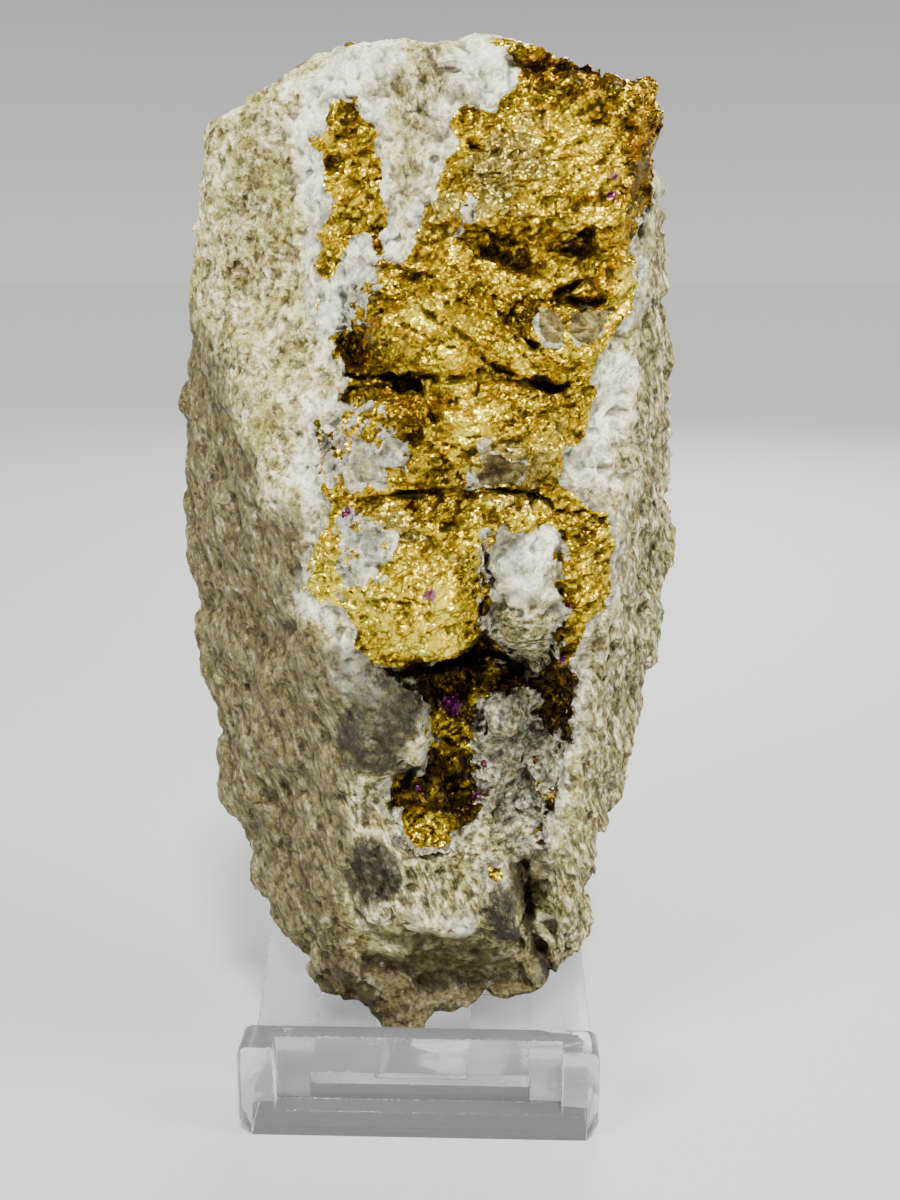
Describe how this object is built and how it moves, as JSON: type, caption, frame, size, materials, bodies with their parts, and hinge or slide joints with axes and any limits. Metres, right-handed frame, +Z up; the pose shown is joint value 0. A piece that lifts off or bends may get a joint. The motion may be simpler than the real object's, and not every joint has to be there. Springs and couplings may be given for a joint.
{
  "type": "chalcopyrite specimen on a clear display easel",
  "caption": "Tall broken stone of brassy chalcopyrite in quartz-rich matrix, leaning on a clear plastic easel with a front lip.",
  "frame": {"origin": "middle of the underside of the easel's front foot, on the table", "axes": "+X to the right as seen from the front, +Y towards the back, +Z up"},
  "size_m": [0.0608, 0.0475, 0.1247],
  "materials": {
    "ore_and_matrix": "broken, sugary quartz with metallic ore",
    "clear_plastic": "clear moulded, slightly scuffed"
  },
  "bodies": {
    "root": {"specimen": "ore_and_matrix", "display_easel": "clear_plastic"}
  },
  "joints": []
}
